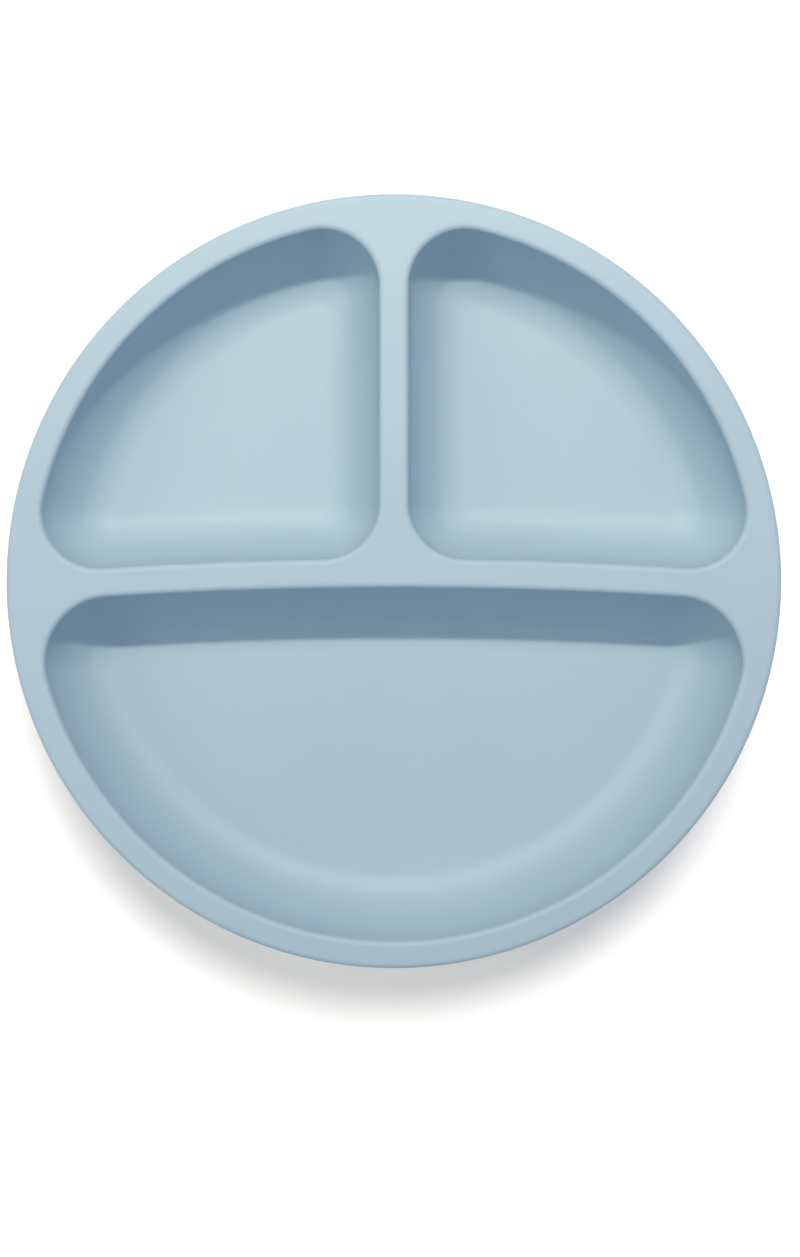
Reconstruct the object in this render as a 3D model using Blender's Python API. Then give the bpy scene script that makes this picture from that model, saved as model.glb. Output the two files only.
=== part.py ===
"""Divided silicone suction plate: a three-pocket dish on a suction cup with a release tab.

Metres, +Z up. The origin is on the table, under the middle of the plate. The single wide pocket
lies towards -Y, where the release tab is, and the two small pockets lie towards +Y.
"""

import math

import bmesh
import bpy
from mathutils import Vector

MM = 0.001

# Dish, seen from above
PLATE_RADIUS = 95.0 * MM
RIM_WIDTH = 6.6 * MM
DIVIDER_WIDTH = 7.1 * MM
DIVIDER_RISE = 1.5 * MM
DIVIDER_BOW_RADIUS = 1120.0 * MM
SMALL_POCKET_CORNER = 14.0 * MM
WIDE_POCKET_CORNER = 16.0 * MM

# Dish, in section
FOOT_HEIGHT = 10.0 * MM
FLOOR_THICKNESS = 3.0 * MM
POCKET_DEPTH = 23.0 * MM
POCKET_DRAFT = math.radians(2.5)
POCKET_FOOT_SLOPE = math.radians(44.0)
POCKET_FLOOR_FILLET = 10.0 * MM
POCKET_CORNER_EASE = 3.0 * MM
POCKET_EDGE_ROUND = 1.4 * MM
RIM_OUTER_ROUND = 1.2 * MM
WALL_DRAFT = math.radians(15.0)
WALL_FOOT_ROUND = 22.0 * MM

# Bonded tongue and groove between the dish and the suction cup
BOND_GAP = 0.3 * MM
TONGUE_INSET = 10.5 * MM
TONGUE_WIDTH = 3.0 * MM
TONGUE_HEIGHT = 1.5 * MM
TONGUE_ROUND = 0.4 * MM

# Suction cup
HUB_RADIUS = 42.0 * MM
HUB_ROUND = 0.8 * MM
CHAMBER_DEPTH = 5.5 * MM
SKIRT_WIDTH = 14.5 * MM
SKIRT_ROOT_THICKNESS = 1.9 * MM
SKIRT_TIP_THICKNESS = 1.2 * MM
SKIRT_DOME = 0.75
FLEX_GAP = 0.3 * MM
LIP_WIDTH = 4.5 * MM
LIP_HEIGHT = 2.0 * MM
LIP_ROUND = 0.6 * MM

# Release tab
TAB_WIDTH = 20.0 * MM
TAB_LENGTH = 12.5 * MM
TAB_THICKNESS = 1.6 * MM
TAB_CORNER = 7.0 * MM
TAB_EDGE_ROUND = 0.5 * MM
TAB_GROUND_CLEARANCE = 0.4 * MM
GRIP_LENGTH = 11.0 * MM
GRIP_WIDTH = 2.4 * MM
GRIP_HEIGHT = 0.7 * MM
GRIP_SET_BACK = 3.2 * MM

# Fineness of the facets
TURN_STEPS = 96
CUP_STEPS = 72
ARC_STEP = math.radians(13.0)
CORNER_STEPS = 8
SMALL_SIDE_STEPS = 12
WIDE_SIDE_STEPS = 30
WALL_STEPS = 6
FILLET_STEPS = 5
EDGE_STEPS = 3
SMALL_ROUND_STEPS = 2
SKIRT_STEPS = 5
SHARP_ANGLE = math.radians(35.0)
MERGE_DISTANCE = 0.001 * MM

# The most of its room that a rounding takes: of each side of a corner, of a side that only one
# corner shares, of a pocket's depth at the floor, and of the grip bar's height
CORNER_SHARE = 0.48
LONE_CORNER_SHARE = 0.9
FLOOR_FILLET_SHARE = 0.9
GRIP_ROUND_SHARE = 0.6

# Silicone
DISH_COLOUR = (0.415, 0.545, 0.615, 1.0)
CUP_COLOUR = (0.395, 0.525, 0.6, 1.0)
SILICONE_ROUGHNESS = 0.55

# Sizes that follow from the ones above
POCKET_RADIUS = PLATE_RADIUS - RIM_WIDTH
HALF_DIVIDER = DIVIDER_WIDTH / 2
UNDERSIDE_Z = FOOT_HEIGHT
FLOOR_Z = UNDERSIDE_Z + FLOOR_THICKNESS
RIM_Z = FLOOR_Z + POCKET_DEPTH
MIDDLE = Vector((0.0, 0.0))
BOW_CENTRE = Vector((0.0, DIVIDER_RISE - DIVIDER_BOW_RADIUS))
HUB_TOP_Z = UNDERSIDE_Z - BOND_GAP
TONGUE_RADIUS = HUB_RADIUS - TONGUE_INSET
LIP_INNER_RADIUS = HUB_RADIUS + SKIRT_WIDTH
LIP_RADIUS = LIP_INNER_RADIUS + LIP_WIDTH
TAB_TOP_Z = TAB_GROUND_CLEARANCE + TAB_THICKNESS
TAB_ROOT_RADIUS = LIP_RADIUS + FLEX_GAP
TAB_END_Y = -(LIP_RADIUS + TAB_LENGTH)


def clear_scene():
    for obj in list(bpy.data.objects):
        bpy.data.objects.remove(obj, do_unlink=True)


def silicone(name, colour):
    material = bpy.data.materials.new(name)
    material.use_nodes = True
    shader = material.node_tree.nodes["Principled BSDF"]
    shader.inputs["Base Color"].default_value = colour
    shader.inputs["Roughness"].default_value = SILICONE_ROUGHNESS
    shader.inputs["Metallic"].default_value = 0.0
    material.diffuse_color = colour
    return material


def add_empty(name, location, parent=None):
    empty = bpy.data.objects.new(name, None)
    bpy.context.scene.collection.objects.link(empty)
    empty.parent = parent
    empty.location = location
    return empty


def add_piece(name, bm, material, parent):
    """Makes the mesh an object under its parent empty, shaded smooth between its sharp edges."""
    bmesh.ops.recalc_face_normals(bm, faces=bm.faces[:])
    mesh = bpy.data.meshes.new(name)
    bm.to_mesh(mesh)
    bm.free()
    mesh.shade_smooth()
    mesh.set_sharp_from_angle(angle=SHARP_ANGLE)
    mesh.materials.append(material)
    piece = bpy.data.objects.new(name, mesh)
    bpy.context.scene.collection.objects.link(piece)
    piece.parent = parent
    return piece


def steps_for(size, step):
    return max(2, math.ceil(size / step))


def arc(centre, radius, start, sweep, steps):
    """Points on an arc, both ends included."""
    angles = (start + sweep * i / steps for i in range(steps + 1))
    return [centre + radius * Vector((math.cos(a), math.sin(a))) for a in angles]


def rounded(corners, steps, closed, share=CORNER_SHARE):
    """An outline through corners (x, y, radius), each rounded as far as its two sides leave room."""
    points = []
    for i, (x, y, radius) in enumerate(corners):
        corner = Vector((x, y))
        is_end = not closed and i in (0, len(corners) - 1)
        if is_end or radius <= 0:
            points.append(corner)
            continue
        back = Vector(corners[i - 1][:2]) - corner
        ahead = Vector(corners[(i + 1) % len(corners)][:2]) - corner
        half_angle = back.angle(ahead) / 2
        room = share * min(back.length, ahead.length)
        reach = min(radius / math.tan(half_angle), room)
        back.normalize()
        ahead.normalize()
        fitted = reach * math.tan(half_angle)
        centre = corner + (back + ahead).normalized() * (fitted / math.sin(half_angle))
        first = corner + back * reach - centre
        last = corner + ahead * reach - centre
        sweep = math.atan2(first.cross(last), first.dot(last))
        points += arc(centre, fitted, math.atan2(first.y, first.x), sweep, steps)
    return points


def turned(bm, profile, steps, closed):
    """Turns an outline of (radius, height) points about Z."""
    verts = [bm.verts.new((p.x, 0.0, p.y)) for p in profile]
    ends = verts[1:] + verts[:1] if closed else verts[1:]
    edges = [bm.edges.new(pair) for pair in zip(verts, ends)]
    bmesh.ops.spin(
        bm,
        geom=verts + edges,
        axis=(0, 0, 1),
        cent=(0, 0, 0),
        angle=2 * math.pi,
        steps=steps,
        use_merge=True,
    )
    bmesh.ops.remove_doubles(bm, verts=bm.verts[:], dist=MERGE_DISTANCE)


def skin(bm, upper, lower):
    """Joins two rings of as many points with a band of faces."""
    for i in range(len(upper)):
        j = (i + 1) % len(upper)
        bm.faces.new((upper[i], upper[j], lower[j], lower[i]))


def meeting_point(first_centre, first_radius, second_centre, second_radius):
    """Where two circles meet, on the right of the way from the first centre to the second."""
    across = second_centre - first_centre
    gap = across.length
    along = (first_radius**2 - second_radius**2 + gap**2) / (2 * gap)
    height = math.sqrt(first_radius**2 - along**2)
    across.normalize()
    return first_centre + across * along + height * Vector((across.y, -across.x))


def angle_to(start, end):
    return math.atan2(end.y - start.y, end.x - start.x)


def corner_radius(mouth_radius, inset):
    """The radius of a pocket's corner, which shrinks as the walls draw in and never closes."""
    free = mouth_radius - POCKET_CORNER_EASE**2 / mouth_radius - inset
    return (free + math.sqrt(free**2 + 4 * POCKET_CORNER_EASE**2)) / 2


def corner(centre, radius, start, end):
    return arc(centre, radius, start, (end - start) % (2 * math.pi), CORNER_STEPS)


def side_between(before, after, steps, centre=None):
    """Points from one corner to the next without the corners' own: straight, or about a centre."""
    first = before[-1]
    last = after[0]
    if centre is None:
        return [first.lerp(last, i / steps) for i in range(1, steps)]
    start = first - centre
    end = last - centre
    sweep = math.atan2(start.cross(end), start.dot(end))
    return arc(centre, start.length, math.atan2(start.y, start.x), sweep, steps)[1:-1]


def small_pocket(inset):
    """The pocket at +X, +Y, drawn in from its mouth, anticlockwise from the dividers' crossing."""
    radius = corner_radius(SMALL_POCKET_CORNER, inset)
    reach = inset + radius
    corner_x = HALF_DIVIDER + reach
    bow_reach = DIVIDER_BOW_RADIUS + HALF_DIVIDER + reach
    rim_reach = POCKET_RADIUS - reach
    inner_centre = Vector((corner_x, BOW_CENTRE.y + math.sqrt(bow_reach**2 - corner_x**2)))
    side_centre = meeting_point(BOW_CENTRE, bow_reach, MIDDLE, rim_reach)
    top_centre = Vector((corner_x, math.sqrt(rim_reach**2 - corner_x**2)))
    inner = corner(inner_centre, radius, math.pi, angle_to(inner_centre, BOW_CENTRE))
    side = corner(side_centre, radius, angle_to(side_centre, BOW_CENTRE), angle_to(MIDDLE, side_centre))
    top = corner(top_centre, radius, angle_to(MIDDLE, top_centre), math.pi)
    outline = inner + side_between(inner, side, SMALL_SIDE_STEPS, BOW_CENTRE)
    outline += side + side_between(side, top, SMALL_SIDE_STEPS, MIDDLE)
    return outline + top + side_between(top, inner, SMALL_SIDE_STEPS)


def wide_pocket(inset):
    """The pocket towards -Y, drawn in from its mouth, anticlockwise from its right corner."""
    radius = corner_radius(WIDE_POCKET_CORNER, inset)
    reach = inset + radius
    bow_reach = DIVIDER_BOW_RADIUS - HALF_DIVIDER - reach
    right_centre = meeting_point(BOW_CENTRE, bow_reach, MIDDLE, POCKET_RADIUS - reach)
    left_centre = Vector((-right_centre.x, right_centre.y))
    right = corner(right_centre, radius, angle_to(MIDDLE, right_centre), angle_to(BOW_CENTRE, right_centre))
    left = corner(left_centre, radius, angle_to(BOW_CENTRE, left_centre), angle_to(MIDDLE, left_centre))
    outline = right + side_between(right, left, WIDE_SIDE_STEPS, BOW_CENTRE)
    return outline + left + side_between(left, right, WIDE_SIDE_STEPS, MIDDLE)


def pocket_profile():
    """The hollow wall of a pocket as (inset, height) points, from the flat of the rim to the floor."""
    top_slope = math.pi / 2 - POCKET_DRAFT
    radius = POCKET_DEPTH / (math.cos(POCKET_FOOT_SLOPE) - math.cos(top_slope))
    centre = Vector((radius * math.sin(top_slope), RIM_Z + radius * math.cos(top_slope)))
    fillet = min(POCKET_FLOOR_FILLET, FLOOR_FILLET_SHARE * POCKET_DEPTH)
    rise = centre.y - FLOOR_Z - fillet
    run = math.sqrt((radius - fillet) ** 2 - rise**2)
    foot_slope = math.atan2(run, rise)
    start = 1.5 * math.pi - top_slope
    wall = arc(centre, radius, start, top_slope - foot_slope, WALL_STEPS)
    foot_centre = Vector((centre.x - run, FLOOR_Z + fillet))
    foot = arc(foot_centre, fillet, 1.5 * math.pi - foot_slope, foot_slope, FILLET_STEPS)
    edge = rounded(
        [
            (-HALF_DIVIDER, RIM_Z, 0),
            (0.0, RIM_Z, POCKET_EDGE_ROUND),
            (wall[1].x, wall[1].y, 0),
        ],
        EDGE_STEPS,
        closed=False,
    )[1:]
    return edge + wall[2:] + foot[1:]


def cut_pocket(bm, outline, mirrored):
    """Adds a pocket's walls and floor to the dish and returns the edges of its mouth."""
    side = -1.0 if mirrored else 1.0
    rings = [
        [bm.verts.new((side * p.x, p.y, step.y)) for p in outline(step.x)]
        for step in pocket_profile()
    ]
    for upper, lower in zip(rings, rings[1:]):
        skin(bm, upper, lower)
    bm.faces.new(rings[-1])
    mouth = rings[0]
    return [bm.edges.get((a, b)) for a, b in zip(mouth, mouth[1:] + mouth[:1])]


def dish_outside():
    """The outside of the dish as (radius, height), from the flat of the rim to the middle underneath."""
    edge_reach = RIM_OUTER_ROUND / math.tan((math.pi / 2 - WALL_DRAFT) / 2)
    rim_corner = PLATE_RADIUS - RIM_OUTER_ROUND + edge_reach
    wall_foot = rim_corner - (RIM_Z - UNDERSIDE_Z) * math.tan(WALL_DRAFT)
    tongue_outer = TONGUE_RADIUS + TONGUE_WIDTH / 2
    tongue_inner = TONGUE_RADIUS - TONGUE_WIDTH / 2
    tongue_z = UNDERSIDE_Z - TONGUE_HEIGHT
    edge = rounded(
        [
            (POCKET_RADIUS, RIM_Z, 0),
            (rim_corner, RIM_Z, RIM_OUTER_ROUND),
            (wall_foot, UNDERSIDE_Z, 0),
        ],
        EDGE_STEPS,
        closed=False,
    )[1:-1]
    foot = rounded(
        [
            (edge[-1].x, edge[-1].y, 0),
            (wall_foot, UNDERSIDE_Z, WALL_FOOT_ROUND),
            (tongue_outer, UNDERSIDE_Z, 0),
        ],
        FILLET_STEPS,
        closed=False,
        share=LONE_CORNER_SHARE,
    )[1:]
    tongue = rounded(
        [
            (tongue_outer, UNDERSIDE_Z, 0),
            (tongue_outer, tongue_z, TONGUE_ROUND),
            (tongue_inner, tongue_z, TONGUE_ROUND),
            (tongue_inner, UNDERSIDE_Z, 0),
            (0.0, UNDERSIDE_Z, 0),
        ],
        SMALL_ROUND_STEPS,
        closed=False,
    )[1:]
    return edge + foot + tongue


def build_dish(material, parent):
    bm = bmesh.new()
    turned(bm, dish_outside(), TURN_STEPS, closed=False)
    rim = [edge for edge in bm.edges if edge.is_boundary]
    mouths = cut_pocket(bm, small_pocket, mirrored=False)
    mouths += cut_pocket(bm, small_pocket, mirrored=True)
    mouths += cut_pocket(bm, wide_pocket, mirrored=False)
    bmesh.ops.triangle_fill(bm, use_beauty=True, edges=rim + mouths)
    return add_piece("divided_dish", bm, material, parent)


def build_hub(material, parent):
    """The thick middle of the suction cup, with the groove that takes the dish's tongue."""
    groove_outer = TONGUE_RADIUS + TONGUE_WIDTH / 2 + BOND_GAP
    groove_inner = TONGUE_RADIUS - TONGUE_WIDTH / 2 - BOND_GAP
    groove_z = UNDERSIDE_Z - TONGUE_HEIGHT - BOND_GAP
    profile = rounded(
        [
            (0.0, HUB_TOP_Z, 0),
            (groove_inner, HUB_TOP_Z, 0),
            (groove_inner, groove_z, 0),
            (groove_outer, groove_z, 0),
            (groove_outer, HUB_TOP_Z, 0),
            (HUB_RADIUS, HUB_TOP_Z, HUB_ROUND),
            (HUB_RADIUS, CHAMBER_DEPTH, HUB_ROUND),
            (0.0, CHAMBER_DEPTH, 0),
        ],
        SMALL_ROUND_STEPS,
        closed=False,
    )
    bm = bmesh.new()
    turned(bm, profile, CUP_STEPS, closed=False)
    return add_piece("suction_hub", bm, material, parent)


def build_skirt(material, parent):
    """The thin flexing cone between the hub and the lip, domed like a suction cup."""
    root = Vector((HUB_RADIUS + FLEX_GAP, (CHAMBER_DEPTH + HUB_TOP_Z) / 2))
    tip = Vector((LIP_INNER_RADIUS - FLEX_GAP, LIP_HEIGHT / 2))
    bend = Vector((root.x + SKIRT_DOME * (tip.x - root.x), root.y))
    outer = []
    inner = []
    for i in range(SKIRT_STEPS + 1):
        share = i / SKIRT_STEPS
        middle = root * (1 - share) ** 2 + bend * 2 * share * (1 - share) + tip * share**2
        half = (SKIRT_ROOT_THICKNESS + share * (SKIRT_TIP_THICKNESS - SKIRT_ROOT_THICKNESS)) / 2
        along = (bend - root) * (1 - share) + (tip - bend) * share
        across = Vector((-along.y, along.x)).normalized() * half
        if i in (0, SKIRT_STEPS):
            across = Vector((0.0, half))
        outer.append(middle + across)
        inner.append(middle - across)
    bm = bmesh.new()
    turned(bm, outer + inner[::-1], CUP_STEPS, closed=True)
    return add_piece("suction_skirt", bm, material, parent)


def build_lip(material, parent):
    """The sealing bead that stands on the table."""
    profile = rounded(
        [
            (LIP_INNER_RADIUS, 0.0, LIP_ROUND),
            (LIP_RADIUS, 0.0, LIP_ROUND),
            (LIP_RADIUS, LIP_HEIGHT, LIP_ROUND),
            (LIP_INNER_RADIUS, LIP_HEIGHT, LIP_ROUND),
        ],
        SMALL_ROUND_STEPS,
        closed=True,
    )
    bm = bmesh.new()
    turned(bm, profile, CUP_STEPS, closed=True)
    return add_piece("sealing_lip", bm, material, parent)


def slab(outline, bottom_z, top_z, edge_round, origin):
    """An outline given thickness, placed about origin, with its top and bottom edges rounded."""
    bm = bmesh.new()
    base = [bm.verts.new((p.x - origin.x, p.y - origin.y, bottom_z - origin.z)) for p in outline]
    face = bm.faces.new(base)
    raised = bmesh.ops.extrude_face_region(bm, geom=[face])["geom"]
    raised_verts = [v for v in raised if isinstance(v, bmesh.types.BMVert)]
    bmesh.ops.translate(bm, verts=raised_verts, vec=(0, 0, top_z - bottom_z))
    levels = (bottom_z - origin.z, top_z - origin.z)
    rims = [
        edge
        for edge in bm.edges
        if any(all(abs(v.co.z - z) < MERGE_DISTANCE for v in edge.verts) for z in levels)
    ]
    bmesh.ops.bevel(
        bm,
        geom=rims,
        offset=edge_round,
        segments=SMALL_ROUND_STEPS,
        profile=0.5,
        affect="EDGES",
        clamp_overlap=True,
    )
    return bm


def tab_outline():
    """The release tab from above: a root that follows the lip, straight sides and a rounded end."""
    half = TAB_WIDTH / 2
    half_angle = math.asin(half / TAB_ROOT_RADIUS)
    steps = steps_for(2 * half_angle, ARC_STEP / 2)
    root = arc(Vector((0, 0)), TAB_ROOT_RADIUS, 1.5 * math.pi + half_angle, -2 * half_angle, steps)
    tip = rounded(
        [
            (root[-1].x, root[-1].y, 0),
            (-half, TAB_END_Y, TAB_CORNER),
            (half, TAB_END_Y, TAB_CORNER),
            (root[0].x, root[0].y, 0),
        ],
        FILLET_STEPS,
        closed=False,
    )
    return root + tip[1:-1]


def build_tab(material, parent, hinge_point):
    grip_y = TAB_END_Y + GRIP_SET_BACK
    grip_radius = GRIP_WIDTH / 2
    grip_half = GRIP_LENGTH / 2 - grip_radius
    grip_outline = arc(Vector((grip_half, grip_y)), grip_radius, -math.pi / 2, math.pi, FILLET_STEPS)
    grip_outline += arc(Vector((-grip_half, grip_y)), grip_radius, math.pi / 2, math.pi, FILLET_STEPS)
    flap = slab(tab_outline(), TAB_GROUND_CLEARANCE, TAB_TOP_Z, TAB_EDGE_ROUND, hinge_point)
    grip = slab(
        grip_outline,
        TAB_TOP_Z - TAB_THICKNESS / 2,
        TAB_TOP_Z + GRIP_HEIGHT,
        min(TAB_EDGE_ROUND, GRIP_ROUND_SHARE * GRIP_HEIGHT),
        hinge_point,
    )
    bar = add_piece("tab_grip_tool", grip, material, parent)
    bar.hide_render = True
    bar.display_type = "WIRE"
    tab = add_piece("release_tab", flap, material, parent)
    union = tab.modifiers.new("grip bar", "BOOLEAN")
    union.operation = "UNION"
    union.solver = "EXACT"
    union.object = bar
    return tab


def build():
    clear_scene()
    dish_silicone = silicone("dish_silicone", DISH_COLOUR)
    cup_silicone = silicone("cup_silicone", CUP_COLOUR)
    plate = add_empty("plate_frame", (0, 0, 0))
    build_dish(dish_silicone, plate)
    build_hub(cup_silicone, plate)
    lip_slide = add_empty("lip_slide", (0, 0, 0), plate)
    build_skirt(cup_silicone, lip_slide)
    build_lip(cup_silicone, lip_slide)
    hinge_y = -math.sqrt(TAB_ROOT_RADIUS**2 - (TAB_WIDTH / 2) ** 2)
    hinge_point = Vector((0.0, hinge_y, TAB_TOP_Z))
    tab_hinge = add_empty("tab_hinge", hinge_point, lip_slide)
    build_tab(cup_silicone, tab_hinge, hinge_point)


build()
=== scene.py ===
"""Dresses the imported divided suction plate: a moulded silicone dish on its suction cup and tab.

Laid out as an add-on: sizes, finish and stage are properties, each piece has an operator, and main
runs the operators in order. Metres, +Z up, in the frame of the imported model.
"""

import math

import bmesh
import bpy
from bpy.props import FloatProperty, FloatVectorProperty, IntProperty, PointerProperty
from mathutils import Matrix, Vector


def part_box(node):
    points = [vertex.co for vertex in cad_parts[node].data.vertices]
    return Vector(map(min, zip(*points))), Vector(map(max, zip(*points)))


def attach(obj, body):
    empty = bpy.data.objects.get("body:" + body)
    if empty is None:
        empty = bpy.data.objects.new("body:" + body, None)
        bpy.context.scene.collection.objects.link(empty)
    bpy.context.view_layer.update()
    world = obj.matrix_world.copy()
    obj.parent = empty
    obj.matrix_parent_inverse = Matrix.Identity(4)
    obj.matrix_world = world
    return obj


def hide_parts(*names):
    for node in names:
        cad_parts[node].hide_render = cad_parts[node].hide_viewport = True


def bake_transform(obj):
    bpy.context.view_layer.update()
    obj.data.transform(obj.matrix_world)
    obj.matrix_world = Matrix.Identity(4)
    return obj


bl_info = {
    "name": "Divided Suction Plate",
    "version": (1, 0, 0),
    "blender": (4, 5, 0),
    "location": "View3D > Sidebar > Plate",
    "description": "Moulds a divided silicone plate with its suction cup over the packed solids",
    "category": "Add Mesh",
}

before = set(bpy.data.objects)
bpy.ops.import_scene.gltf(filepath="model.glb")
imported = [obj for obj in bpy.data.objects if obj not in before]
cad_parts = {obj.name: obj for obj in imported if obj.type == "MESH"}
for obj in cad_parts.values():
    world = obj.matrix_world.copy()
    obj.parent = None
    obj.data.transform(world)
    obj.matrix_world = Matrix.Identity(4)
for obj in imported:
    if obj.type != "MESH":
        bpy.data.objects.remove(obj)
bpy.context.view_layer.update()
DISH_LOW, DISH_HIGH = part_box("divided_dish")
HUB_LOW, HUB_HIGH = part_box("suction_hub")
LIP_LOW, LIP_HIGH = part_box("sealing_lip")
SKIRT_LOW, SKIRT_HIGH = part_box("suction_skirt")
TAB_LOW, TAB_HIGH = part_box("release_tab")

MM = 0.001
IMAGE_WIDTH = 800
IMAGE_HEIGHT = 1257
SENSOR = 36.0
MERGE_DISTANCE = 0.001 * MM
SMOOTH_ANGLE = math.radians(40.0)
CLIP_START = 10.0 * MM
MIDDLE = Vector((0.0, 0.0))

# Sizes that two settings or two profiles share
FLEX_GAP = 0.3 * MM
TAB_THICKNESS = 1.6 * MM
FLAT_STRIP = 0.6 * MM

# The point of a pocket's wall where its rounded upper edge ends
EDGE_END = 3

# Fineness of the curves
WALL_STEPS = 18
FILLET_STEPS = 14
EDGE_STEPS = 8
FOOT_STEPS = 28
TONGUE_STEPS = 4
HUB_STEPS = 6
SKIRT_STEPS = 28
LIP_STEPS = 8
TAB_ROOT_STEPS = 24
TAB_CORNER_STEPS = 16
SLAB_STEPS = 5

# The silicone's texture
CLOUD_DETAIL = 3.0
HANDLED_DETAIL = 4.0
GRAIN_DETAIL = 2.0
NOISE_ROUGHNESS = 0.55
GRAIN_SHEEN = 0.06
BUMP_STRENGTH = 0.5
SILICONE_IOR = 1.41


def length(name, description, default):
    return FloatProperty(
        name=name, description=description, default=default, precision=5, unit="LENGTH", subtype="DISTANCE"
    )


def angle(name, description, degrees):
    return FloatProperty(
        name=name, description=description, default=math.radians(degrees), unit="ROTATION", subtype="ANGLE"
    )


def share(name, description, default):
    return FloatProperty(
        name=name, description=description, default=default, subtype="FACTOR", min=0.0, max=1.0
    )


def count(name, description, default):
    return IntProperty(name=name, description=description, default=default, min=3)


def colour(name, description, default):
    return FloatVectorProperty(
        name=name, description=description, default=default, size=3, min=0.0, max=1.0, subtype="COLOR"
    )


class DishSizes(bpy.types.PropertyGroup):
    """Sizes of the dish with its three pockets."""

    radius: length("Radius", "Outer radius of the rim", DISH_HIGH.x)
    rim_height: length("Rim height", "Height of the rim's flat over the table", DISH_HIGH.z)
    rim_width: length("Rim width", "From the outer edge to the pockets", 6.6 * MM)
    divider_width: length("Divider width", "Width of the two dividers", 7.1 * MM)
    divider_rise: length("Divider rise", "How far the cross divider stands back from the middle", 1.5 * MM)
    divider_bow: length("Divider bow", "Radius of the cross divider's bow", 1120.0 * MM)
    small_corner: length("Small corner", "Corner radius of the two small pockets at the rim", 14.0 * MM)
    wide_corner: length("Wide corner", "Corner radius of the wide pocket at the rim", 16.0 * MM)
    corner_ease: length("Corner ease", "How round the pockets' corners stay at the floor", 3.0 * MM)
    pocket_depth: length("Pocket depth", "From the rim to the pockets' floor", 23.0 * MM)
    rim_draft: angle("Rim draft", "Lean of the pockets' walls at the rim", 2.5)
    foot_slope: angle("Foot slope", "Slope at which the hollow walls run out on the floor", 44.0)
    floor_fillet: length("Floor fillet", "Radius between the walls and the floor", 10.0 * MM)
    edge_round: length("Edge round", "Radius of the pockets' upper edges", 1.4 * MM)
    rim_round: length("Rim round", "Radius of the rim's outer edge", 1.2 * MM)
    wall_draft: angle("Wall draft", "Lean of the outside wall", 15.0)
    foot_round: length("Foot round", "Radius between the outside wall and the underside", 22.0 * MM)
    underside: length("Underside", "Height of the underside over the table", 10.0 * MM)
    tongue_radius: length("Tongue radius", "Middle of the tongue that is bonded into the hub", 31.5 * MM)
    tongue_width: length("Tongue width", "Width of the bonded tongue", 3.0 * MM)
    tongue_round: length("Tongue round", "Edge radius of the bonded tongue", 0.4 * MM)
    turn_steps: count("Turn steps", "Segments round the dish", 256)
    corner_steps: count("Corner steps", "Segments round a pocket's corner", 24)
    small_side_steps: count("Small side steps", "Segments along a side of a small pocket", 48)
    wide_side_steps: count("Wide side steps", "Segments along a side of the wide pocket", 112)


class CupSizes(bpy.types.PropertyGroup):
    """Sizes of the suction cup: hub, skirt and sealing lip."""

    hub_radius: length("Hub radius", "Outer radius of the hub", HUB_HIGH.x)
    hub_top: length("Hub top", "Height of the hub's top over the table", HUB_HIGH.z)
    chamber: length("Chamber", "Height of the hollow under the hub", HUB_LOW.z)
    hub_round: length("Hub round", "Edge radius of the hub", 0.8 * MM)
    bond: length("Bond", "Adhesive gap round the dish's tongue", 0.3 * MM)
    root_thickness: length("Root thickness", "Thickness of the skirt at the hub", 1.9 * MM)
    tip_thickness: length("Tip thickness", "Thickness of the skirt at the lip", 1.2 * MM)
    root_flare: length("Root flare", "How much the skirt thickens into the hub on each side", 0.35 * MM)
    flare_share: share("Flare share", "Share of the skirt over which it thickens", 0.22)
    dome: share("Dome", "How far out the skirt stays level before it turns down", 0.75)
    weld: length("Weld", "How far a piece runs into its neighbour", 0.6 * MM)
    lip_inner: length("Lip inner", "Inner radius of the lip", SKIRT_HIGH.x + FLEX_GAP)
    lip_radius: length("Lip radius", "Outer radius of the lip", LIP_HIGH.x)
    lip_height: length("Lip height", "Height of the lip over the table", LIP_HIGH.z)
    lip_round: length("Lip round", "Edge radius of the lip", 0.6 * MM)
    turn_steps: count("Turn steps", "Segments round the cup", 192)


class TabSizes(bpy.types.PropertyGroup):
    """Sizes of the release tab."""

    width: length("Width", "Width of the tab", TAB_HIGH.x - TAB_LOW.x)
    end: length("End", "How far the tab's end lies from the middle", -TAB_LOW.y)
    clearance: length("Clearance", "Gap between the tab and the table", TAB_LOW.z)
    thickness: length("Thickness", "Thickness of the tab", TAB_THICKNESS)
    corner: length("Corner", "Radius of the tab's two corners", 7.0 * MM)
    edge_round: length("Edge round", "Radius of the tab's edges", 0.5 * MM)
    grip_length: length("Grip length", "Length of the grip bar", 11.0 * MM)
    grip_width: length("Grip width", "Width of the grip bar", 2.4 * MM)
    grip_height: length(
        "Grip height", "How far the grip bar stands up", TAB_HIGH.z - TAB_LOW.z - TAB_THICKNESS
    )
    grip_round: share("Grip round", "Share of the grip bar's height that is rounded", 0.6)
    grip_set_back: length("Grip set back", "From the tab's end to the grip bar", 3.2 * MM)
    bend_length: length("Bend length", "Length of the thin stretch that bends", 4.0 * MM)


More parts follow.
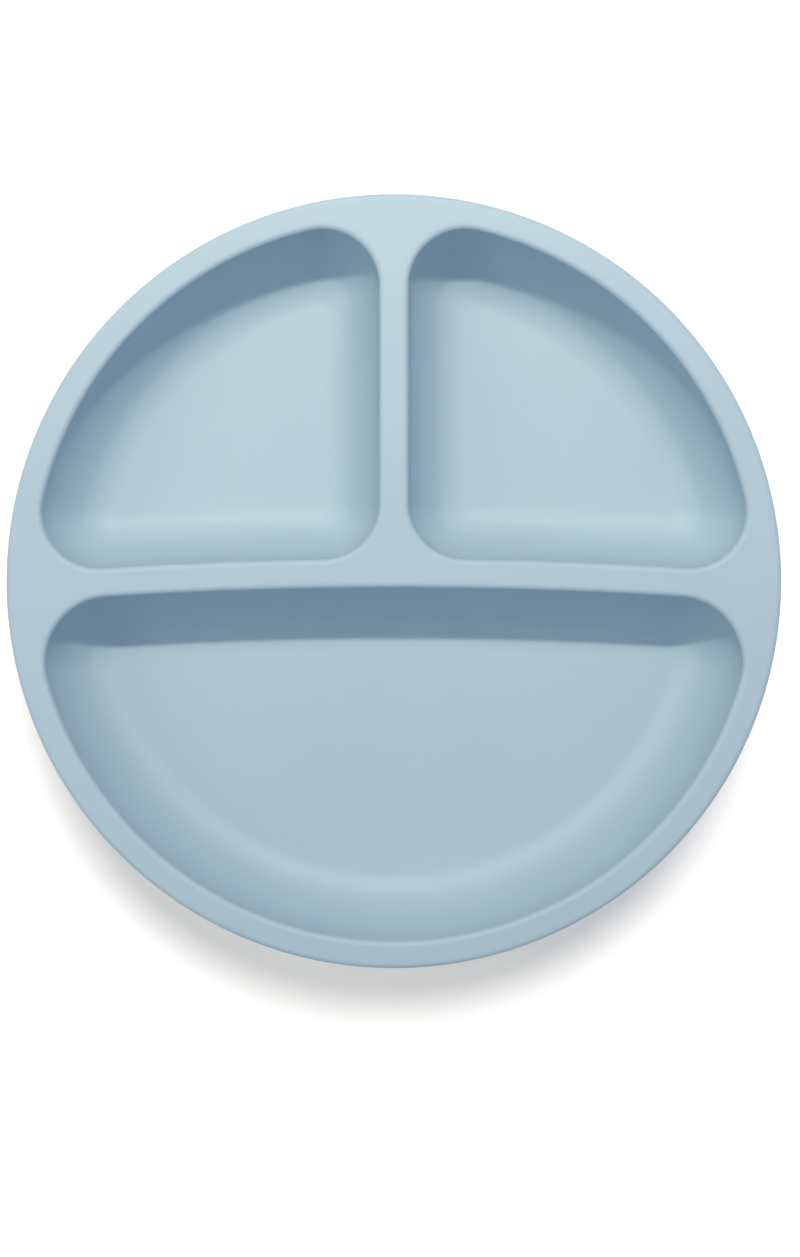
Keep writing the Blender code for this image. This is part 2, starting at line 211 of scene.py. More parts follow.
class SiliconeFinish(bpy.types.PropertyGroup):
    """Colour and surface of the silicone."""

    dish_colour: colour("Dish colour", "Powder blue of the dish", (0.415, 0.545, 0.615))
    cup_colour: colour("Cup colour", "Powder blue of the suction cup", (0.395, 0.525, 0.6))
    mottle: share("Mottle", "How much the pigment varies", 0.03)
    mottle_size: length("Mottle size", "Size of the pigment's clouds", 26.0 * MM)
    roughness: share("Roughness", "Roughness of the satin skin", 0.52)
    roughness_change: share("Roughness change", "How much the sheen varies", 0.12)
    handled_size: length("Handled size", "Size of the smoother, handled patches", 14.0 * MM)
    grain_size: length("Grain size", "Size of the mould's fine grain", 0.45 * MM)
    grain_depth: length("Grain depth", "Depth of the mould's fine grain", 0.012 * MM)


class StageSettings(bpy.types.PropertyGroup):
    """Camera, lights and floor."""

    camera_height: length("Camera height", "Height of the camera over the rim", 515.0 * MM)
    camera_y: length("Camera place", "How far the camera stands beyond the plate's middle", -23.0 * MM)
    plate_share: share("Plate share", "The plate's width as a share of the picture's", 0.971)
    aim_x: length("Aim right", "The picture's middle, to the right of the plate's", 1.5 * MM)
    aim_y: length("Aim up", "The picture's middle, beyond the plate's", -12.0 * MM)
    key_elevation: angle("Key elevation", "Height of the key lamp", 61.0)
    key_azimuth: angle("Key azimuth", "Direction of the key lamp from +X towards +Y", 93.0)
    key_distance: length("Key distance", "Distance of the key lamp", 900.0 * MM)
    key_size: length("Key size", "Diameter of the key lamp", 50.0 * MM)
    key_feather: angle("Key feather", "How far the key lamp points past the plate", 48.0)
    key_level: share("Key level", "Light of the key lamp where it falls square", 0.685)
    key_colour: colour("Key colour", "Warm white of the key lamp", (1.0, 0.905, 0.795))
    side_elevation: angle("Side elevation", "Height of the two soft lamps at the sides", 45.0)
    side_distance: length("Side distance", "Distance of the soft lamps", 1000.0 * MM)
    side_size: length("Side size", "Diameter of the soft lamps", 700.0 * MM)
    side_colour: colour("Side colour", "Warm white of the two soft lamps at the sides", (1.0, 1.0, 0.78))
    left_level: share("Left level", "Light of the left soft lamp where it falls square", 0.21)
    right_level: share("Right level", "Light of the right soft lamp where it falls square", 0.1)
    fill_level: share("Fill level", "Light from all round", 0.385)
    fill_colour: colour("Fill colour", "Cool white of the light from all round", (0.52, 0.668, 1.0))
    under_level: share("Under level", "Light of the soft lamp below where it falls square", 0.4)
    under_colour: colour("Under colour", "White of the soft lamp below", (1.0, 0.98, 0.95))
    sun_elevation: angle("Sun elevation", "Height of the sun that lights only the floor", 63.0)
    sun_azimuth: angle("Sun azimuth", "Direction of the floor's sun from +X towards +Y", 84.0)
    sun_spread: angle("Sun spread", "How wide the floor's sun is, which softens the shadow", 21.5)
    sun_level: share("Sun level", "Light of the floor's sun where it falls square", 0.8)
    sun_colour: colour("Sun colour", "Cool white that the warm floor turns neutral", (0.84, 0.91, 1.0))
    floor_colour: colour("Floor colour", "Warm white of the floor", (0.97, 0.85, 0.735))
    floor_glow: share("Floor glow", "White that the floor adds for the camera", 0.23)
    floor_size: length("Floor size", "Width of the floor", 8.0)
    floor_gap: length("Floor gap", "A hair's breadth that keeps the floor off the lip's face", 0.05 * MM)


def arc(centre, radius, start, sweep, steps):
    """Points on an arc, both ends included."""
    angles = (start + sweep * i / steps for i in range(steps + 1))
    return [centre + radius * Vector((math.cos(a), math.sin(a))) for a in angles]


def rounded(corners, steps):
    """A line through corners (x, y, radius), each rounded by its radius."""
    points = []
    for i, (x, y, radius) in enumerate(corners):
        corner = Vector((x, y))
        if radius <= 0:
            points.append(corner)
            continue
        back = (Vector(corners[i - 1][:2]) - corner).normalized()
        ahead = (Vector(corners[(i + 1) % len(corners)][:2]) - corner).normalized()
        half_angle = back.angle(ahead) / 2
        reach = radius / math.tan(half_angle)
        centre = corner + (back + ahead).normalized() * (radius / math.sin(half_angle))
        first = corner + back * reach - centre
        last = corner + ahead * reach - centre
        sweep = math.atan2(first.cross(last), first.dot(last))
        points += arc(centre, radius, math.atan2(first.y, first.x), sweep, steps)
    return points


def meeting_point(first_centre, first_radius, second_centre, second_radius):
    """Where two circles meet, on the right of the way from the first centre to the second."""
    across = second_centre - first_centre
    gap = across.length
    along = (first_radius**2 - second_radius**2 + gap**2) / (2 * gap)
    height = math.sqrt(first_radius**2 - along**2)
    across.normalize()
    return first_centre + across * along + height * Vector((across.y, -across.x))


def angle_to(start, end):
    return math.atan2(end.y - start.y, end.x - start.x)


def side_between(before, after, steps, centre=None):
    """Points from one corner's arc to the next: straight, or about a centre."""
    first = before[-1]
    last = after[0]
    if centre is None:
        return [first.lerp(last, i / steps) for i in range(1, steps)]
    start = first - centre
    end = last - centre
    sweep = math.atan2(start.cross(end), start.dot(end))
    return arc(centre, start.length, math.atan2(start.y, start.x), sweep, steps)[1:-1]


class PocketPlan:
    """The pockets' outlines from above, drawn in from the rim by an inset."""

    def __init__(self, sizes):
        self.sizes = sizes
        self.rim = sizes.radius - sizes.rim_width
        self.half_divider = sizes.divider_width / 2
        self.bow = sizes.divider_bow
        self.bow_centre = Vector((0.0, sizes.divider_rise - sizes.divider_bow))

    def corner_radius(self, mouth_radius, inset):
        ease = self.sizes.corner_ease
        free = mouth_radius - ease**2 / mouth_radius - inset
        return (free + math.sqrt(free**2 + 4 * ease**2)) / 2

    def corner(self, centre, radius, start, end):
        return arc(centre, radius, start, (end - start) % (2 * math.pi), self.sizes.corner_steps)

    def small(self, inset):
        """The small pocket at +X, +Y, anticlockwise from the dividers' crossing."""
        radius = self.corner_radius(self.sizes.small_corner, inset)
        reach = inset + radius
        steps = self.sizes.small_side_steps
        bow_centre = self.bow_centre
        corner_x = self.half_divider + reach
        bow_reach = self.bow + self.half_divider + reach
        rim_reach = self.rim - reach
        inner_centre = Vector((corner_x, bow_centre.y + math.sqrt(bow_reach**2 - corner_x**2)))
        side_centre = meeting_point(bow_centre, bow_reach, MIDDLE, rim_reach)
        top_centre = Vector((corner_x, math.sqrt(rim_reach**2 - corner_x**2)))
        inner = self.corner(inner_centre, radius, math.pi, angle_to(inner_centre, bow_centre))
        side_start = angle_to(side_centre, bow_centre)
        side = self.corner(side_centre, radius, side_start, angle_to(MIDDLE, side_centre))
        top = self.corner(top_centre, radius, angle_to(MIDDLE, top_centre), math.pi)
        outline = inner + side_between(inner, side, steps, bow_centre)
        outline += side + side_between(side, top, steps, MIDDLE)
        return outline + top + side_between(top, inner, steps)

    def small_mirrored(self, inset):
        """The small pocket at -X, +Y, anticlockwise."""
        return [Vector((-point.x, point.y)) for point in reversed(self.small(inset))]

    def wide(self, inset):
        """The wide pocket towards -Y, anticlockwise from its right corner."""
        radius = self.corner_radius(self.sizes.wide_corner, inset)
        reach = inset + radius
        steps = self.sizes.wide_side_steps
        bow_centre = self.bow_centre
        bow_reach = self.bow - self.half_divider - reach
        right_centre = meeting_point(bow_centre, bow_reach, MIDDLE, self.rim - reach)
        left_centre = Vector((-right_centre.x, right_centre.y))
        right_start = angle_to(MIDDLE, right_centre)
        left_start = angle_to(bow_centre, left_centre)
        right = self.corner(right_centre, radius, right_start, angle_to(bow_centre, right_centre))
        left = self.corner(left_centre, radius, left_start, angle_to(MIDDLE, left_centre))
        outline = right + side_between(right, left, steps, bow_centre)
        return outline + left + side_between(left, right, steps, MIDDLE)


def pocket_profile(sizes):
    """A pocket's hollow wall as (inset, height), with a little of the flat rim and floor at its ends."""
    rim_z = sizes.rim_height
    floor_z = rim_z - sizes.pocket_depth
    fillet = sizes.floor_fillet
    top_slope = math.pi / 2 - sizes.rim_draft
    radius = sizes.pocket_depth / (math.cos(sizes.foot_slope) - math.cos(top_slope))
    centre = Vector((radius * math.sin(top_slope), rim_z + radius * math.cos(top_slope)))
    rise = centre.y - floor_z - fillet
    run = math.sqrt((radius - fillet) ** 2 - rise**2)
    foot_slope = math.atan2(run, rise)
    wall = arc(centre, radius, 1.5 * math.pi - top_slope, top_slope - foot_slope, WALL_STEPS)
    foot_centre = Vector((centre.x - run, floor_z + fillet))
    foot = arc(foot_centre, fillet, 1.5 * math.pi - foot_slope, foot_slope, FILLET_STEPS)
    edge_end = wall[EDGE_END]
    edge = rounded(
        [(-sizes.rim_width, rim_z, 0), (0.0, rim_z, sizes.edge_round), (edge_end.x, edge_end.y, 0)],
        EDGE_STEPS,
    )[1:]
    rim = Vector((edge[0].x - FLAT_STRIP, rim_z))
    floor = Vector((foot[-1].x + FLAT_STRIP, floor_z))
    return [rim] + edge + wall[EDGE_END + 1 :] + foot[1:] + [floor]


def dish_outside(sizes):
    """The dish's outside as (radius, height), from the flat of the rim to the middle underneath."""
    rim_z = sizes.rim_height
    under_z = sizes.underside
    edge_reach = sizes.rim_round / math.tan((math.pi / 2 - sizes.wall_draft) / 2)
    rim_corner = sizes.radius - sizes.rim_round + edge_reach
    foot_radius = rim_corner - (rim_z - under_z) * math.tan(sizes.wall_draft)
    outer = sizes.tongue_radius + sizes.tongue_width / 2
    inner = sizes.tongue_radius - sizes.tongue_width / 2
    low_z = DISH_LOW.z
    edge = rounded(
        [(0.0, rim_z, 0), (rim_corner, rim_z, sizes.rim_round), (foot_radius, under_z, 0)], EDGE_STEPS
    )[1:-1]
    foot = rounded(
        [(edge[-1].x, edge[-1].y, 0), (foot_radius, under_z, sizes.foot_round), (outer, under_z, 0)],
        FOOT_STEPS,
    )[1:]
    tongue = rounded(
        [
            (outer, under_z, 0),
            (outer, low_z, sizes.tongue_round),
            (inner, low_z, sizes.tongue_round),
            (inner, under_z, 0),
            (0.0, under_z, 0),
        ],
        TONGUE_STEPS,
    )[1:]
    return [Vector((edge[0].x - FLAT_STRIP, rim_z))] + edge + foot + tongue


def deselect():
    bpy.ops.object.select_all(action="DESELECT")


def name_piece(piece, name):
    piece.name = name
    piece.data.name = name


def close_seams():
    """Merges doubles and turns all faces outwards, in edit mode."""
    bpy.ops.mesh.select_all(action="SELECT")
    bpy.ops.mesh.remove_doubles(threshold=MERGE_DISTANCE)
    bpy.ops.mesh.normals_make_consistent(inside=False)


def lathe(name, profile, steps):
    """Draws (radius, height) points as a line of edges and spins it about Z."""
    deselect()
    bpy.ops.mesh.primitive_plane_add(size=MM, location=(0, 0, 0))
    piece = bpy.context.object
    name_piece(piece, name)
    bpy.ops.object.mode_set(mode="EDIT")
    bpy.ops.mesh.select_mode(type="VERT")
    bpy.ops.mesh.select_all(action="SELECT")
    bpy.ops.mesh.merge(type="CENTER")
    bpy.ops.transform.translate(value=(profile[0].x, 0, profile[0].y))
    for before, after in zip(profile, profile[1:]):
        step = (after.x - before.x, 0, after.y - before.y)
        bpy.ops.mesh.extrude_vertices_move(TRANSFORM_OT_translate={"value": step})
    bpy.ops.mesh.select_all(action="SELECT")
    bpy.ops.mesh.spin(steps=steps, angle=2 * math.pi, center=(0, 0, 0), axis=(0, 0, 1))
    close_seams()
    bpy.ops.object.mode_set(mode="OBJECT")
    return piece


def place_face(piece, points):
    """Moves the corners of the selected face to points, in their order round it."""
    mesh = bmesh.from_edit_mesh(piece.data)
    face = next(face for face in mesh.faces if face.select)
    for loop, point in zip(face.loops, points):
        loop.vert.co = point
    bmesh.update_edit_mesh(piece.data)


def outline_face(name, points):
    """A face with the given outline, left selected in edit mode."""
    deselect()
    bpy.ops.mesh.primitive_circle_add(vertices=len(points), radius=MM, fill_type="NGON", location=(0, 0, 0))
    piece = bpy.context.object
    name_piece(piece, name)
    bpy.ops.object.mode_set(mode="EDIT")
    bpy.ops.mesh.select_mode(type="FACE")
    bpy.ops.mesh.select_all(action="SELECT")
    place_face(piece, points)
    return piece


def sink_pocket(name, outline, profile):
    """Insets a face ring by ring down a pocket's wall to its floor."""
    rings = [[Vector((p.x, p.y, step.y)) for p in outline(step.x)] for step in profile]
    piece = outline_face(name, rings[0])
    for ring in rings[1:]:
        bpy.ops.mesh.inset(thickness=MERGE_DISTANCE)
        place_face(piece, ring)
    bpy.ops.object.mode_set(mode="OBJECT")
    return piece


def slab(name, outline, bottom_z, top_z, edge_round):
    """A face extruded to a slab, with its upper and lower edges rounded."""
    piece = outline_face(name, [Vector((p.x, p.y, bottom_z)) for p in outline])
    bpy.ops.mesh.extrude_region_move(TRANSFORM_OT_translate={"value": (0, 0, top_z - bottom_z)})
    bpy.ops.mesh.select_mode(type="EDGE")
    bpy.ops.mesh.select_all(action="DESELECT")
    mesh = bmesh.from_edit_mesh(piece.data)
    for edge in mesh.edges:
        edge.select = abs(edge.verts[0].co.z - edge.verts[1].co.z) < MERGE_DISTANCE
    bmesh.update_edit_mesh(piece.data)
    bpy.ops.mesh.bevel(offset=edge_round, segments=SLAB_STEPS, profile=0.5, affect="EDGES")
    close_seams()
    bpy.ops.object.mode_set(mode="OBJECT")
    return piece


def join(pieces):
    """Joins pieces to the first."""
    deselect()
    for piece in pieces:
        piece.select_set(True)
    bpy.context.view_layer.objects.active = pieces[0]
    bpy.ops.object.join()
    return pieces[0]


def smooth(piece):
    deselect()
    piece.select_set(True)
    bpy.context.view_layer.objects.active = piece
    bpy.ops.object.shade_smooth_by_angle(angle=SMOOTH_ANGLE)


class Wire:
    """An output of a node tree, for shader maths written as Python expressions."""

    def __init__(self, tree, socket=None):
        self.tree = tree
        self.socket = socket

    def node(self, kind, settings, inputs, output=0):
        """Adds a node, sets it up, feeds its sockets by name or number and returns one of its outputs."""
        made = self.tree.nodes.new(kind)
        for name, value in settings.items():
            setattr(made, name, value)
        for key, value in inputs.items():
            if isinstance(value, Wire):
                self.tree.links.new(value.socket, made.inputs[key])
            else:
                made.inputs[key].default_value = value
        return Wire(self.tree, made.outputs[output])

    def feed(self, socket):
        self.tree.links.new(self.socket, socket)

    def maths(self, operation, first, second):
        return self.node("ShaderNodeMath", {"operation": operation}, {0: first, 1: second})

    def __add__(self, other):
        return self.maths("ADD", self, other)

    def __radd__(self, other):
        return self.maths("ADD", other, self)

    def __sub__(self, other):
        return self.maths("SUBTRACT", self, other)

    def __rsub__(self, other):
        return self.maths("SUBTRACT", other, self)

    def __mul__(self, other):
        return self.maths("MULTIPLY", self, other)

    def __rmul__(self, other):
        return self.maths("MULTIPLY", other, self)

    def most(self, other):
        return self.maths("MAXIMUM", self, other)


def tint(base, factor):
    return tuple(min(1.0, channel * factor) for channel in base) + (1.0,)


def silicone(name, base, finish):
    """Satin silicone: clouded pigment, patches of smoother skin and the fine grain of the mould."""
    material = bpy.data.materials.new(name)
    material.use_nodes = True
    material.diffuse_color = tint(base, 1.0)
    tree = material.node_tree
    shader = tree.nodes["Principled BSDF"]
    place = Wire(tree).node("ShaderNodeTexCoord", {}, {}, "Object")

    def noise(size, detail):
        inputs = {"Vector": place, "Scale": 1.0 / size, "Detail": detail, "Roughness": NOISE_ROUGHNESS}
        return place.node("ShaderNodeTexNoise", {}, inputs, 0)

    clouds = noise(finish.mottle_size, CLOUD_DETAIL)
    handled = noise(finish.handled_size, HANDLED_DETAIL)
    grain = noise(finish.grain_size, GRAIN_DETAIL)
    pigment = place.node(
        "ShaderNodeMix",
        {"data_type": "RGBA"},
        {0: clouds, 6: tint(base, 1.0 - finish.mottle), 7: tint(base, 1.0 + finish.mottle)},
        2,
    )
    pigment.feed(shader.inputs["Base Color"])
    sheen = finish.roughness + (handled - 0.5) * finish.roughness_change + (grain - 0.5) * GRAIN_SHEEN
    sheen.feed(shader.inputs["Roughness"])
    bump = place.node(
        "ShaderNodeBump", {}, {"Strength": BUMP_STRENGTH, "Distance": finish.grain_depth, "Height": grain}
    )
    bump.feed(shader.inputs["Normal"])
    shader.inputs["IOR"].default_value = SILICONE_IOR
    return material


def material_for(context, slot):
    """The silicone of a material slot, made the first time that it is asked for."""
    name = slot + "_skin"
    if name in bpy.data.materials:
        return bpy.data.materials[name]
    finish = context.scene.plate_finish
    base = finish.dish_colour if slot == "dish_silicone" else finish.cup_colour
    return silicone(name, base, finish)


def dress(context, piece, slot):
    piece.data.materials.clear()
    piece.data.materials.append(material_for(context, slot))
    smooth(piece)


class PLATE_OT_mould_dish(bpy.types.Operator):
    """Mould the dish: outside, three pockets and the rim and dividers between them"""

    bl_idname = "plate.mould_dish"
    bl_label = "Mould Dish"
    bl_options = {"REGISTER", "UNDO"}

    def execute(self, context):
        sizes = context.scene.plate_dish
        plan = PocketPlan(sizes)
        profile = pocket_profile(sizes)
        dish = join(
            [
                lathe("dish", dish_outside(sizes), sizes.turn_steps),
                sink_pocket("right_pocket", plan.small, profile),
                sink_pocket("left_pocket", plan.small_mirrored, profile),
                sink_pocket("wide_pocket", plan.wide, profile),
            ]
        )
        bpy.ops.object.mode_set(mode="EDIT")
        bpy.ops.mesh.select_mode(type="EDGE")
        bpy.ops.mesh.select_all(action="DESELECT")
        bpy.ops.mesh.select_non_manifold(
            use_wire=False, use_multi_face=False, use_non_contiguous=False, use_verts=False
        )
        bpy.ops.mesh.fill(use_beauty=True)
        close_seams()
        bpy.ops.object.mode_set(mode="OBJECT")
        dress(context, dish, "dish_silicone")
        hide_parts("divided_dish")
        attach(dish, "plate")
        return {"FINISHED"}


class PLATE_OT_mould_hub(bpy.types.Operator):
    """Turn the hub of the suction cup, with the groove for the dish's tongue"""

    bl_idname = "plate.mould_hub"
    bl_label = "Mould Hub"
    bl_options = {"REGISTER", "UNDO"}

    def execute(self, context):
        cup = context.scene.plate_cup
        dish = context.scene.plate_dish
        groove = dish.tongue_width / 2 + cup.bond
        groove_z = DISH_LOW.z - cup.bond
        profile = rounded(
            [
                (0.0, cup.hub_top, 0),
                (dish.tongue_radius - groove, cup.hub_top, 0),
                (dish.tongue_radius - groove, groove_z, 0),
                (dish.tongue_radius + groove, groove_z, 0),
                (dish.tongue_radius + groove, cup.hub_top, 0),
                (cup.hub_radius, cup.hub_top, cup.hub_round),
                (cup.hub_radius, cup.chamber, cup.hub_round),
                (0.0, cup.chamber, 0),
            ],
            HUB_STEPS,
        )
        hub = lathe("cup_hub", profile, cup.turn_steps)
        dress(context, hub, "cup_silicone")
        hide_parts("suction_hub")
        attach(hub, "plate")
        return {"FINISHED"}


class PLATE_OT_mould_skirt(bpy.types.Operator):
    """Turn the thin domed skirt between hub and lip, in the rest shape from which the real skirt bends when
    the plate is pressed down
    """

    bl_idname = "plate.mould_skirt"
    bl_label = "Mould Skirt"
    bl_options = {"REGISTER", "UNDO"}

    def execute(self, context):
        cup = context.scene.plate_cup
        root = Vector((cup.hub_radius - cup.weld, (cup.chamber + cup.hub_top) / 2))
        tip = Vector((cup.lip_inner + cup.weld, cup.lip_height / 2))
        bend = Vector((root.x + cup.dome * (tip.x - root.x), root.y))
        outer = []
        inner = []
        for i in range(SKIRT_STEPS + 1):
            t = i / SKIRT_STEPS
            middle = root * (1 - t) ** 2 + bend * 2 * t * (1 - t) + tip * t**2
            along = (bend - root) * (1 - t) + (tip - bend) * t
            half = (cup.root_thickness * (1 - t) + cup.tip_thickness * t) / 2
            half += cup.root_flare * max(0.0, 1 - t / cup.flare_share) ** 2
            across = Vector((-along.y, along.x)).normalized() * half
            outer.append(middle + across)
            inner.append(middle - across)
        skirt = lathe("cup_skirt", outer + inner[::-1] + outer[:1], cup.turn_steps)
        dress(context, skirt, "cup_silicone")
        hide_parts("suction_skirt")
        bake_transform(skirt)
        return {"FINISHED"}


class PLATE_OT_mould_lip(bpy.types.Operator):
    """Turn the sealing lip that stands on the table"""

    bl_idname = "plate.mould_lip"
    bl_label = "Mould Lip"
    bl_options = {"REGISTER", "UNDO"}

    def execute(self, context):
        cup = context.scene.plate_cup
        profile = rounded(
            [
                (cup.lip_inner, LIP_LOW.z, cup.lip_round),
                (cup.lip_radius, LIP_LOW.z, cup.lip_round),
                (cup.lip_radius, cup.lip_height, cup.lip_round),
                (cup.lip_inner, cup.lip_height, cup.lip_round),
            ],
            LIP_STEPS,
        )
        lip = lathe("cup_lip", profile + profile[:1], cup.turn_steps)
        dress(context, lip, "cup_silicone")
        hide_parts("sealing_lip")
        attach(lip, "lip")
        return {"FINISHED"}


class PLATE_OT_mould_tab(bpy.types.Operator):
    """Model the release tab with its grip bar, in the rest shape from which the real tab bends where it
    grows out of the lip
    """

    bl_idname = "plate.mould_tab"
    bl_label = "Mould Tab"
    bl_options = {"REGISTER", "UNDO"}

    def execute(self, context):
        tab = context.scene.plate_tab
        cup = context.scene.plate_cup
        half = tab.width / 2
        root_radius = cup.lip_radius - cup.weld
        half_angle = math.asin(half / root_radius)
        root = arc(MIDDLE, root_radius, 1.5 * math.pi + half_angle, -2 * half_angle, TAB_ROOT_STEPS)
        tip = rounded(
            [
                (root[-1].x, root[-1].y, 0),
                (-half, -tab.end, tab.corner),
                (half, -tab.end, tab.corner),
                (root[0].x, root[0].y, 0),
            ],
            TAB_CORNER_STEPS,
        )[1:-1]
        top_z = tab.clearance + tab.thickness
        grip_radius = tab.grip_width / 2
        grip_x = tab.grip_length / 2 - grip_radius
        grip_y = -tab.end + tab.grip_set_back
        bar = arc(Vector((grip_x, grip_y)), grip_radius, -math.pi / 2, math.pi, TAB_CORNER_STEPS)
        bar += arc(Vector((-grip_x, grip_y)), grip_radius, math.pi / 2, math.pi, TAB_CORNER_STEPS)
        flap = slab("cup_tab", root + tip, tab.clearance, top_z, tab.edge_round)
        grip_round = tab.grip_round * tab.grip_height
        grip = slab("grip_bar", bar, top_z - tab.thickness / 2, top_z + tab.grip_height, grip_round)
        union = flap.modifiers.new("grip bar", "BOOLEAN")
        union.operation = "UNION"
        union.solver = "EXACT"
        union.object = grip
        deselect()
        context.view_layer.objects.active = flap
        bpy.ops.object.modifier_apply(modifier=union.name)
        bpy.data.objects.remove(grip, do_unlink=True)
        dress(context, flap, "cup_silicone")
        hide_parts("release_tab")
        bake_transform(flap)
        return {"FINISHED"}


def add_camera(context, stage):
    dish = context.scene.plate_dish
    place = Vector((stage.aim_x, stage.camera_y, dish.rim_height + stage.camera_height))
    aim = Vector((stage.aim_x, stage.aim_y, dish.rim_height))
    deselect()
    bpy.ops.object.camera_add(location=place)
    camera = context.object
    camera.name = "overhead_camera"
    camera.rotation_euler = (place - aim).to_track_quat("Z", "Y").to_euler()
    plate_share = stage.plate_share * IMAGE_WIDTH / IMAGE_HEIGHT
    camera.data.sensor_width = SENSOR
    camera.data.lens = SENSOR * plate_share * (place - aim).length / (2 * dish.radius)
    camera.data.clip_start = CLIP_START
    context.scene.camera = camera


def add_lamp(context, name, kind, elevation, azimuth, distance):
    """A lamp of a kind, aimed at the plate."""
    flat = math.cos(elevation)
    way = Vector((flat * math.cos(azimuth), flat * math.sin(azimuth), math.sin(elevation)))
    aim = Vector((0, 0, context.scene.plate_dish.rim_height))
    deselect()
    bpy.ops.object.light_add(type=kind, location=aim + way * distance)
    lamp = context.object
    lamp.name = name
    lamp.rotation_euler = way.to_track_quat("Z", "Y").to_euler()
    return lamp


def add_disk(context, name, elevation, azimuth, distance, size, level, tone):
    """A round lamp, set so that a white card at its distance shows its level."""
    lamp = add_lamp(context, name, "AREA", elevation, azimuth, distance)
    lamp.data.shape = "DISK"
    lamp.data.size = size
    lamp.data.color = tone
    lamp.data.energy = (math.pi * distance) ** 2 * level
    return lamp


def link_light(lamp, piece, state):
    """Makes a lamp light nothing but the piece (INCLUDE) or all but the piece (EXCLUDE)."""
    lit = bpy.data.collections.new(lamp.name + "_link")
    lit.objects.link(piece)
    lit.collection_objects[0].light_linking.link_state = state
    lamp.light_linking.receiver_collection = lit
    return lit


def add_key(context, stage, floor):
    """The small lamp of the pockets' shadows, feathered past the plate to dim its near side."""
    level = stage.key_level / math.cos(stage.key_feather)
    key = add_disk(
        context,
        "key_lamp",
        stage.key_elevation,
        stage.key_azimuth,
        stage.key_distance,
        stage.key_size,
        level,
        stage.key_colour,
    )
    key.rotation_euler.x -= stage.key_feather
    link_light(key, floor, "EXCLUDE")


def add_soft_lamp(context, stage, name, elevation, azimuth, level, tone):
    return add_disk(context, name, elevation, azimuth, stage.side_distance, stage.side_size, level, tone)


def add_side_lamps(context, stage):
    """A wide lamp at each side."""
    sides = (("left_soft_lamp", math.pi, stage.left_level), ("right_soft_lamp", 0.0, stage.right_level))
    for name, azimuth, level in sides:
        add_soft_lamp(context, stage, name, stage.side_elevation, azimuth, level, stage.side_colour)


def add_under_lamp(context, stage, floor):
    """A wide lamp below that shines past the floor on the suction cup."""
    straight_down = -math.pi / 2
    under = add_soft_lamp(
        context, stage, "under_soft_lamp", straight_down, 0.0, stage.under_level, stage.under_colour
    )
    under.light_linking.blocker_collection = link_light(under, floor, "EXCLUDE")


def add_sun(context, stage, floor):
    """Even light on the floor alone, wide enough for a soft shadow."""
    sun = add_lamp(context, "floor_sun", "SUN", stage.sun_elevation, stage.sun_azimuth, stage.side_distance)
    sun.data.angle = stage.sun_spread
    sun.data.color = stage.sun_colour
    sun.data.energy = math.pi * stage.sun_level
    link_light(sun, floor, "INCLUDE")


def seen_rays(tree):
    """1 for rays from the camera, and for those that mirrors and glass send on."""
    path = tree.nodes.new("ShaderNodeLightPath")
    camera, glossy, transmission = (
        Wire(tree, path.outputs[name]) for name in ("Is Camera Ray", "Is Glossy Ray", "Is Transmission Ray")
    )
    return camera.most(glossy).most(transmission)


def add_world(context, stage):
    """Even light from all round that shows as white."""
    world = bpy.data.worlds.new("studio")
    context.scene.world = world
    world.use_nodes = True
    tree = world.node_tree
    tree.nodes.remove(tree.nodes["Background"])
    seen = seen_rays(tree)
    fill = seen.node(
        "ShaderNodeBackground", {}, {"Color": tint(stage.fill_colour, 1.0), "Strength": stage.fill_level}
    )
    white = seen.node("ShaderNodeBackground", {}, {"Color": (1, 1, 1, 1), "Strength": 1.0})
    seen.node("ShaderNodeMixShader", {}, {0: seen, 1: fill, 2: white}).feed(
        tree.nodes["World Output"].inputs["Surface"]
    )


def add_floor(context, stage):
    """A white floor that keeps the shadow and can be looked through from below."""
    deselect()
    bpy.ops.mesh.primitive_plane_add(size=stage.floor_size, location=(0, 0, -stage.floor_gap))
    floor = context.object
    name_piece(floor, "floor")
    material = bpy.data.materials.new("white_floor")
    material.use_nodes = True
    tree = material.node_tree
    tree.nodes.remove(tree.nodes["Principled BSDF"])
    matt = Wire(tree).node("ShaderNodeBsdfDiffuse", {}, {"Color": tint(stage.floor_colour, 1.0)})
    glow = matt.node("ShaderNodeEmission", {}, {"Strength": stage.floor_glow * seen_rays(tree)})
    white = matt.node("ShaderNodeAddShader", {}, {0: matt, 1: glow})
    clear = matt.node("ShaderNodeBsdfTransparent", {}, {})
    behind = matt.node("ShaderNodeNewGeometry", {}, {}, "Backfacing")
    surface = matt.node("ShaderNodeMixShader", {}, {0: behind, 1: white, 2: clear})
    surface.feed(tree.nodes["Material Output"].inputs["Surface"])
    floor.data.materials.append(material)
    return floor


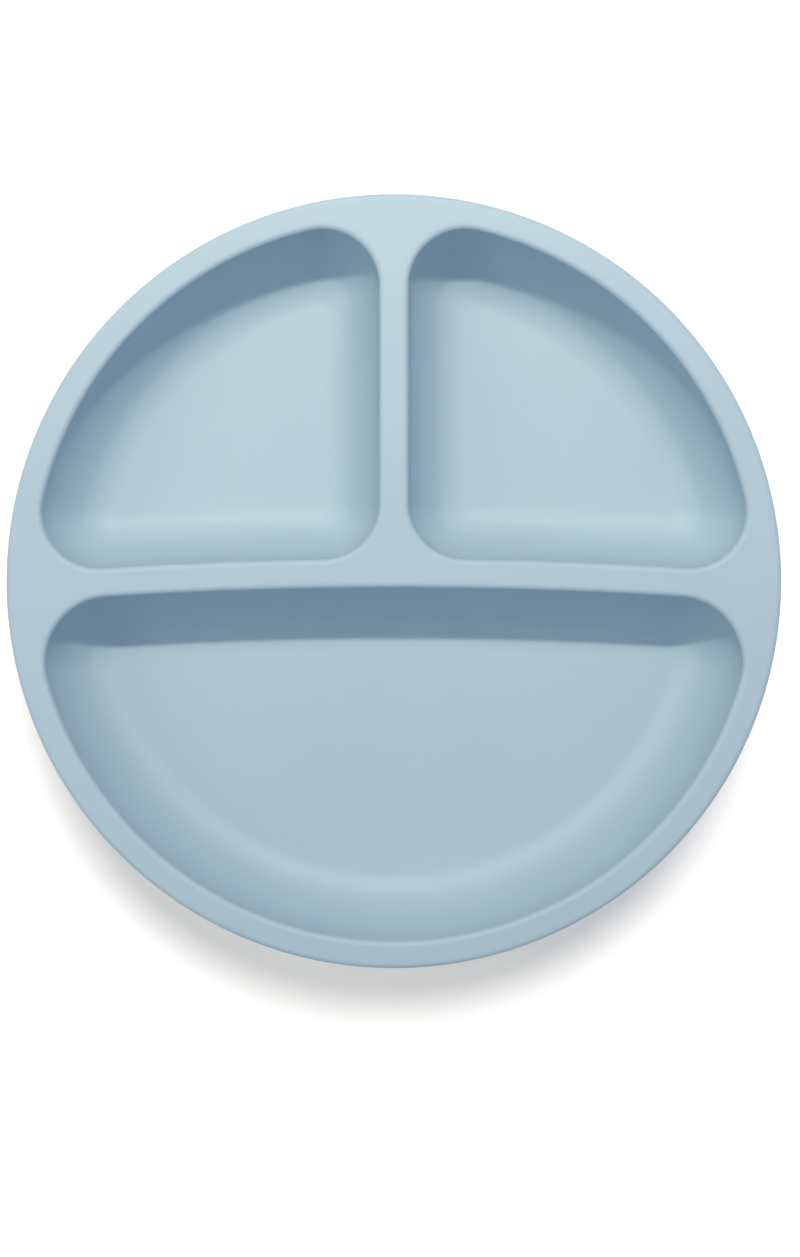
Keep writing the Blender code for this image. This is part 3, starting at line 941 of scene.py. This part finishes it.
class PLATE_OT_set_stage(bpy.types.Operator):
    """Set up the camera over the plate, the lamps, the even light and the white floor"""

    bl_idname = "plate.set_stage"
    bl_label = "Set Stage"
    bl_options = {"REGISTER", "UNDO"}

    def execute(self, context):
        stage = context.scene.plate_stage
        context.scene.view_settings.view_transform = "Standard"
        add_camera(context, stage)
        add_world(context, stage)
        floor = add_floor(context, stage)
        add_key(context, stage, floor)
        add_side_lamps(context, stage)
        add_under_lamp(context, stage, floor)
        add_sun(context, stage, floor)
        return {"FINISHED"}


OPERATORS = (
    PLATE_OT_set_stage,
    PLATE_OT_mould_dish,
    PLATE_OT_mould_hub,
    PLATE_OT_mould_skirt,
    PLATE_OT_mould_lip,
    PLATE_OT_mould_tab,
)
SETTINGS = {
    "plate_dish": DishSizes,
    "plate_cup": CupSizes,
    "plate_tab": TabSizes,
    "plate_finish": SiliconeFinish,
    "plate_stage": StageSettings,
}


class PLATE_PT_panel(bpy.types.Panel):
    """Lists the plate's pieces, sizes and finish"""

    bl_idname = "PLATE_PT_panel"
    bl_label = "Divided Suction Plate"
    bl_space_type = "VIEW_3D"
    bl_region_type = "UI"
    bl_category = "Plate"

    def draw(self, context):
        for operator in OPERATORS:
            self.layout.operator(operator.bl_idname)
        for setting in SETTINGS:
            group = getattr(context.scene, setting)
            box = self.layout.box()
            for name in group.__annotations__:
                box.prop(group, name)


CLASSES = tuple(SETTINGS.values()) + OPERATORS + (PLATE_PT_panel,)


def register():
    for cls in CLASSES:
        bpy.utils.register_class(cls)
    for name, group in SETTINGS.items():
        setattr(bpy.types.Scene, name, PointerProperty(type=group))


def unregister():
    for name in SETTINGS:
        delattr(bpy.types.Scene, name)
    for cls in reversed(CLASSES):
        bpy.utils.unregister_class(cls)


def main():
    register()
    bpy.ops.plate.set_stage()
    bpy.ops.plate.mould_dish()
    bpy.ops.plate.mould_hub()
    bpy.ops.plate.mould_skirt()
    bpy.ops.plate.mould_lip()
    bpy.ops.plate.mould_tab()


if __name__ == "__main__":
    main()
